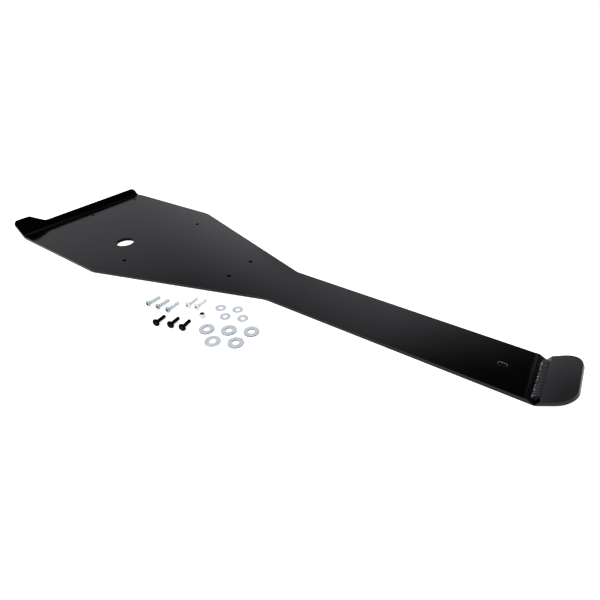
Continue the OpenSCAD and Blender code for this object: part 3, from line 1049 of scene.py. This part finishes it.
def make_washer(node, material, side, seed):
    """A punched washer: rolled over at its top edges, sharper with a small burr below."""
    middle, low, high = middle_and_heights(node)
    radii = [(point.xy - middle.xy).length for point in corners_of(node)]
    outer, inner = max(radii), min(radii)
    roll = random.Random(seed).uniform(*WASHER_ROLL) * MM
    inner_roll, burr = roll * WASHER_INNER_SHARE, WASHER_BURR
    outline = arc(outer - roll, high - roll, roll, 90, 0)
    outline += [(outer, low + burr), (outer - burr, low), (inner + burr, low), (inner, low + burr)]
    outline += arc(inner + inner_roll, high - inner_roll, inner_roll, 180, 90)
    bm = bmesh.new()
    add_lathe(bm, [circle(radius, z, FINE_AROUND) for radius, z in outline], closed=True)
    bm.transform(Matrix.Translation((middle.x, middle.y, 0)))
    piece = piece_from("punched_" + node, bm, smooth_angle=50.0)
    finish_piece(piece, node, material)
    # The steep sides take the side finish, which is painted shade on most washers.
    side_finish = add_finish(piece, side)
    for polygon in piece.data.polygons:
        if abs(polygon.normal.z) < WASHER_SIDE_TILT:
            polygon.material_index = side_finish


# ---------------------------------------------------------------- lock nut

NUT_SCREW = "steel_screw_1"
NUT_BEVEL_LEAN = math.tan(math.radians(30))
NUT_FACE_SHARE = 0.97
NUT_ENTRY = 0.25 * MM
NUT_SEAT = 0.1 * MM
NUT_THREAD_CLEARANCE = 0.05 * MM
NUT_INSIDE = 0.2 * MM
NUT_HEX_LOW = 2.0 * MM
COLLAR_FOOT = 0.12 * MM
COLLAR_RISE = 0.15 * MM
COLLAR_ROLL = 0.45 * MM
COLLAR_LIP = 0.15 * MM
COLLAR_LIP_RISE = 0.06 * MM
COLLAR_LIP_DROP = 0.1 * MM
RING_SWELL = 0.18 * MM
RING_ENTRY = 0.3 * MM


class LockNut:
    """The sizes of the lock nut and its nylon ring, from their solids and from their screw's."""

    def __init__(self):
        self.middle, self.low, self.high = middle_and_heights("lock_nut")
        rows = self.heights_and_radii("lock_nut")
        corner = max(rows, key=lambda row: row[1])
        self.corner_r = corner[1]
        self.flat_r = self.corner_r * math.cos(math.pi / 6)
        self.turn = math.atan2(corner[2].y - self.middle.y, corner[2].x - self.middle.x)
        self.hole_r = min(row[1] for row in rows)
        self.collar_r = max(row[1] for row in rows if row[0] > self.high - CLOSE)
        collar = [row[0] for row in rows if abs(row[1] - self.collar_r) < CLOSE]
        self.hex_top = min(z for z in collar if z > NUT_HEX_LOW)
        ring = self.heights_and_radii("lock_nut_ring")
        self.ring_low = min(row[0] for row in ring)
        self.ring_top = max(row[0] for row in ring)
        self.ring_r = max(row[1] for row in ring)
        self.grip_r = min(row[1] for row in ring)
        screw = Screw(NUT_SCREW)
        self.pitch = screw.pitch
        self.thread_r = screw.thread_r

    def heights_and_radii(self, node):
        """For each corner of a node, its height, its distance from the nut's axis and its place."""
        rows = []
        for point in corners_of(node):
            rows.append((point.z, (point.xy - self.middle.xy).length, point))
        return rows

    def centre(self, bm):
        """Moves a mesh turned about the origin onto the nut's axis."""
        bm.transform(Matrix.Translation((self.middle.x, self.middle.y, 0)))


def nut_hexagon(nut, z_flat, direction):
    """The hexagon's edge at one of its faces, where its corners are turned off."""
    points = hexagon(nut.corner_r, z_flat, turn=nut.turn, count=FINE_AROUND)
    for point in points:
        beyond = max(0.0, point.xy.length - nut.flat_r * NUT_FACE_SHARE)
        point.z = z_flat + direction * beyond * NUT_BEVEL_LEAN
    return points


def collar_outline(nut):
    """Radius and height from the collar's foot, over its rolled top, to the seat of the ring."""
    outline = [(nut.collar_r + COLLAR_FOOT, nut.hex_top), (nut.collar_r, nut.hex_top + COLLAR_RISE)]
    outline += arc(nut.collar_r - COLLAR_ROLL, nut.high - COLLAR_ROLL, COLLAR_ROLL, 0, 110, 5)
    outline += [
        (nut.ring_r - COLLAR_LIP, nut.ring_top + COLLAR_LIP_RISE),
        (nut.ring_r, nut.ring_top - COLLAR_LIP_DROP),
        (nut.ring_r, nut.ring_low),
        (nut.thread_r + NUT_SEAT, nut.ring_low),
    ]
    return outline


def make_nut_body(nut, material, inner):
    """The hexagon with its corners turned off, its rolled collar, and its thread."""
    rings = [
        circle(nut.thread_r + NUT_ENTRY, nut.low, FINE_AROUND),
        circle(nut.flat_r * NUT_FACE_SHARE, nut.low, FINE_AROUND),
        nut_hexagon(nut, nut.low, direction=1.0),
        nut_hexagon(nut, nut.hex_top, direction=-1.0),
        circle(nut.flat_r * NUT_FACE_SHARE, nut.hex_top, FINE_AROUND),
    ]
    rings += [circle(radius, z, FINE_AROUND) for radius, z in collar_outline(nut)]
    bm = bmesh.new()
    add_lathe(bm, rings)
    root_r = nut.thread_r + NUT_THREAD_CLEARANCE
    low_r, high_r = nut.thread_r + NUT_ENTRY, nut.thread_r + NUT_SEAT
    add_helix(bm, nut.pitch, root_r, nut.hole_r, nut.low, nut.ring_low, low_r, high_r, FINE_AROUND)
    nut.centre(bm)
    piece = piece_from("hexagon_lock_nut", bm, smooth_angle=28.0)
    finish_piece(piece, "lock_nut", material)
    # The thread inside the nut gets the socket's painted shade.
    inner_finish = add_finish(piece, inner)
    for polygon in piece.data.polygons:
        away = (polygon.center.xy - nut.middle.xy).length
        if away < nut.thread_r + NUT_INSIDE and nut.low < polygon.center.z < nut.ring_low:
            polygon.material_index = inner_finish


def make_nylon_ring(nut, material):
    """The ring in the collar. Its top swells at the outside and leads in at the hole."""
    outline = [(nut.ring_r, nut.ring_low), (nut.ring_r, nut.ring_top - RING_SWELL)]
    outline += arc(nut.ring_r - RING_SWELL, nut.ring_top - RING_SWELL, RING_SWELL, 0, 90)
    outline += arc(nut.grip_r + RING_ENTRY, nut.ring_top - RING_ENTRY, RING_ENTRY, 90, 180, 4)
    outline += [(nut.grip_r, nut.ring_low)]
    bm = bmesh.new()
    add_lathe(bm, [circle(radius, z, FINE_AROUND) for radius, z in outline], closed=True)
    nut.centre(bm)
    piece = piece_from("nylon_ring", bm, smooth_angle=50.0)
    finish_piece(piece, "lock_nut_ring", material)


# ---------------------------------------------------------------- weld bead

BEAD_STEPS = 170
BEAD_ACROSS = 14
BEAD_SEED = 7.0
BEAD_TAPER = 3.2 * MM
BEAD_END_SHARE = 0.25
BEAD_HEIGHT_SHARE = 0.86
BAR_TOE_SHARE = 0.15
NOSE_TOE_SHARE = 1.65
CROWN_LEAN = 0.6
RIPPLE_LENGTH = 3.1 * MM
RIPPLE_BOW = 2.2 * MM
RIPPLE_SHARE = 0.45
LUMP_HEIGHT = 0.25 * MM
LUMP_LENGTH = 2.6 * MM
TOE_WANDER = 0.45 * MM
TOE_WANDER_LENGTH = 2.2 * MM
TOE_SCALLOP = 0.18 * MM


class WeldSection:
    """The bead's section in x and z: its root, the line from toe to toe, and how far it stands out.

    The bead stops short of the toe on the bar and runs on over the toe on the nose plate.
    """

    def __init__(self, node):
        corners = [Vector((corner.x, corner.z)) for corner in corners_of(node)]
        self.root = min(corners, key=lambda corner: corner.y)
        self.bar_toe = min(corners, key=lambda corner: corner.x).lerp(self.root, BAR_TOE_SHARE)
        nose_toe = self.root.lerp(max(corners, key=lambda corner: corner.x), NOSE_TOE_SHARE)
        self.chord = nose_toe - self.bar_toe
        self.out = Vector((-self.chord.y, self.chord.x)).normalized()
        self.crown = max((corner - self.bar_toe).dot(self.out) for corner in corners)
        self.core = self.root.lerp((self.bar_toe + nose_toe) / 2, 0.5)


def bead_height(y, across, arch, phase, crown):
    """How far the bead stands out of its chord: its arch, with ripples and small lumps on it.

    Each ripple has a height of its own. The plain numbers in the noises keep them apart.
    """
    lump = noise.noise(Vector((y / LUMP_LENGTH, across * 2.0, BEAD_SEED)))
    uneven = 0.5 + 0.5 * noise.noise(Vector((int(phase) * 1.7, 3.0, BEAD_SEED)))
    step = 1.0 - (phase % 1.0)
    ripple = RIPPLE_SHARE * (step - 0.5) * (0.5 + uneven) * arch**0.5
    height = crown * (BEAD_HEIGHT_SHARE * arch + ripple)
    return height + LUMP_HEIGHT * lump * arch**0.5


def toe_shift(y, nose_side, phase):
    """How far a toe of the bead wanders out along its plate."""
    shift = TOE_WANDER * noise.noise(Vector((y / TOE_WANDER_LENGTH, 9.0 * nose_side, BEAD_SEED)))
    return shift + TOE_SCALLOP * math.cos(2 * math.pi * phase)


def bead_row(y, taper, section):
    """The points round the bead at a place along it: its root, then over it from toe to toe."""
    row = [(section.root.x, y, section.root.y)]
    for k in range(BEAD_ACROSS + 1):
        across = k / BEAD_ACROSS
        lean = across**CROWN_LEAN
        arch = 4 * lean * (1 - lean)
        phase = (y + RIPPLE_BOW * arch) / RIPPLE_LENGTH
        nose_side = across > 0.5
        shift = toe_shift(y, nose_side, phase) * (abs(2 * across - 1) ** 2) * (1 if nose_side else -1)
        point = section.bar_toe + section.chord * across
        point += section.chord.normalized() * shift
        point += section.out * bead_height(y, across, arch, phase, section.crown)
        point = section.core.lerp(point, BEAD_END_SHARE + (1 - BEAD_END_SHARE) * taper)
        row.append((point.x, y, point.y))
    return row


def make_weld(material):
    """A hand-laid bead: overlapping ripples, wavy toes, and ends that taper off."""
    node = "nose_weld"
    section = WeldSection(node)
    left, right = (corner[1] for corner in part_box(node))
    rows = []
    for i in range(BEAD_STEPS + 1):
        y = left + (right - left) * i / BEAD_STEPS
        end = min(y - left, right - y)
        taper = math.sqrt(max(0.0, 1 - (1 - min(end / BEAD_TAPER, 1.0)) ** 2))
        rows.append(bead_row(y, taper, section))
    bm = bmesh.new()
    made = add_lathe(bm, rows)
    for end in (made[0], made[-1]):
        bm.faces.new(end)
    piece = piece_from("rippled_weld", bm, smooth_angle=50.0)
    finish_piece(piece, node, material)


# ---------------------------------------------------------------- loose kit


def make_kit(metal, peel):
    """The loose screws, washers and nut. Each washer's seed is its node's place in the sorted names."""
    stainless = make_stainless(metal)
    # The sockets and the nut's inner thread get painted shade.
    painted_shade_socket = make_shaded_socket(metal, "painted_shade_socket", 0.01, 0.03)
    screw_finishes = make_screw_finishes(metal, stainless, painted_shade_socket)
    zinc = make_zinc(metal)
    shaded_side_zinc = make_shaded_side_zinc(metal)
    nut = LockNut()
    make_nut_body(nut, stainless, painted_shade_socket)
    make_nylon_ring(nut, make_nylon(peel))
    for number, node in enumerate(sorted(frame["nodes"])):
        kind = node.rsplit("_", 1)[0]
        if kind in screw_finishes:
            make_screw(node, *screw_finishes[kind])
        elif kind.endswith("washer"):
            # Painted shade: most washers get the darker zinc on their sides; the small ones and
            # large_washer_4 keep the plain zinc there.
            plain_side = kind == "small_washer" or node == "large_washer_4"
            make_washer(node, zinc, zinc if plain_side else shaded_side_zinc, number)


# ---------------------------------------------------------------- run

make_camera()
make_lamp()
make_world()
make_floor()

orange_peel = make_orange_peel()
tumbled_metal = make_tumbled_metal()
powder_coat = make_powder_coat(orange_peel)
coated_weld = make_coated_weld(orange_peel)
make_plates(powder_coat, make_rough_shaded_bore(orange_peel), make_painted_highlight_rim(tumbled_metal), coated_weld)
make_weld(coated_weld)
make_kit(tumbled_metal, orange_peel)
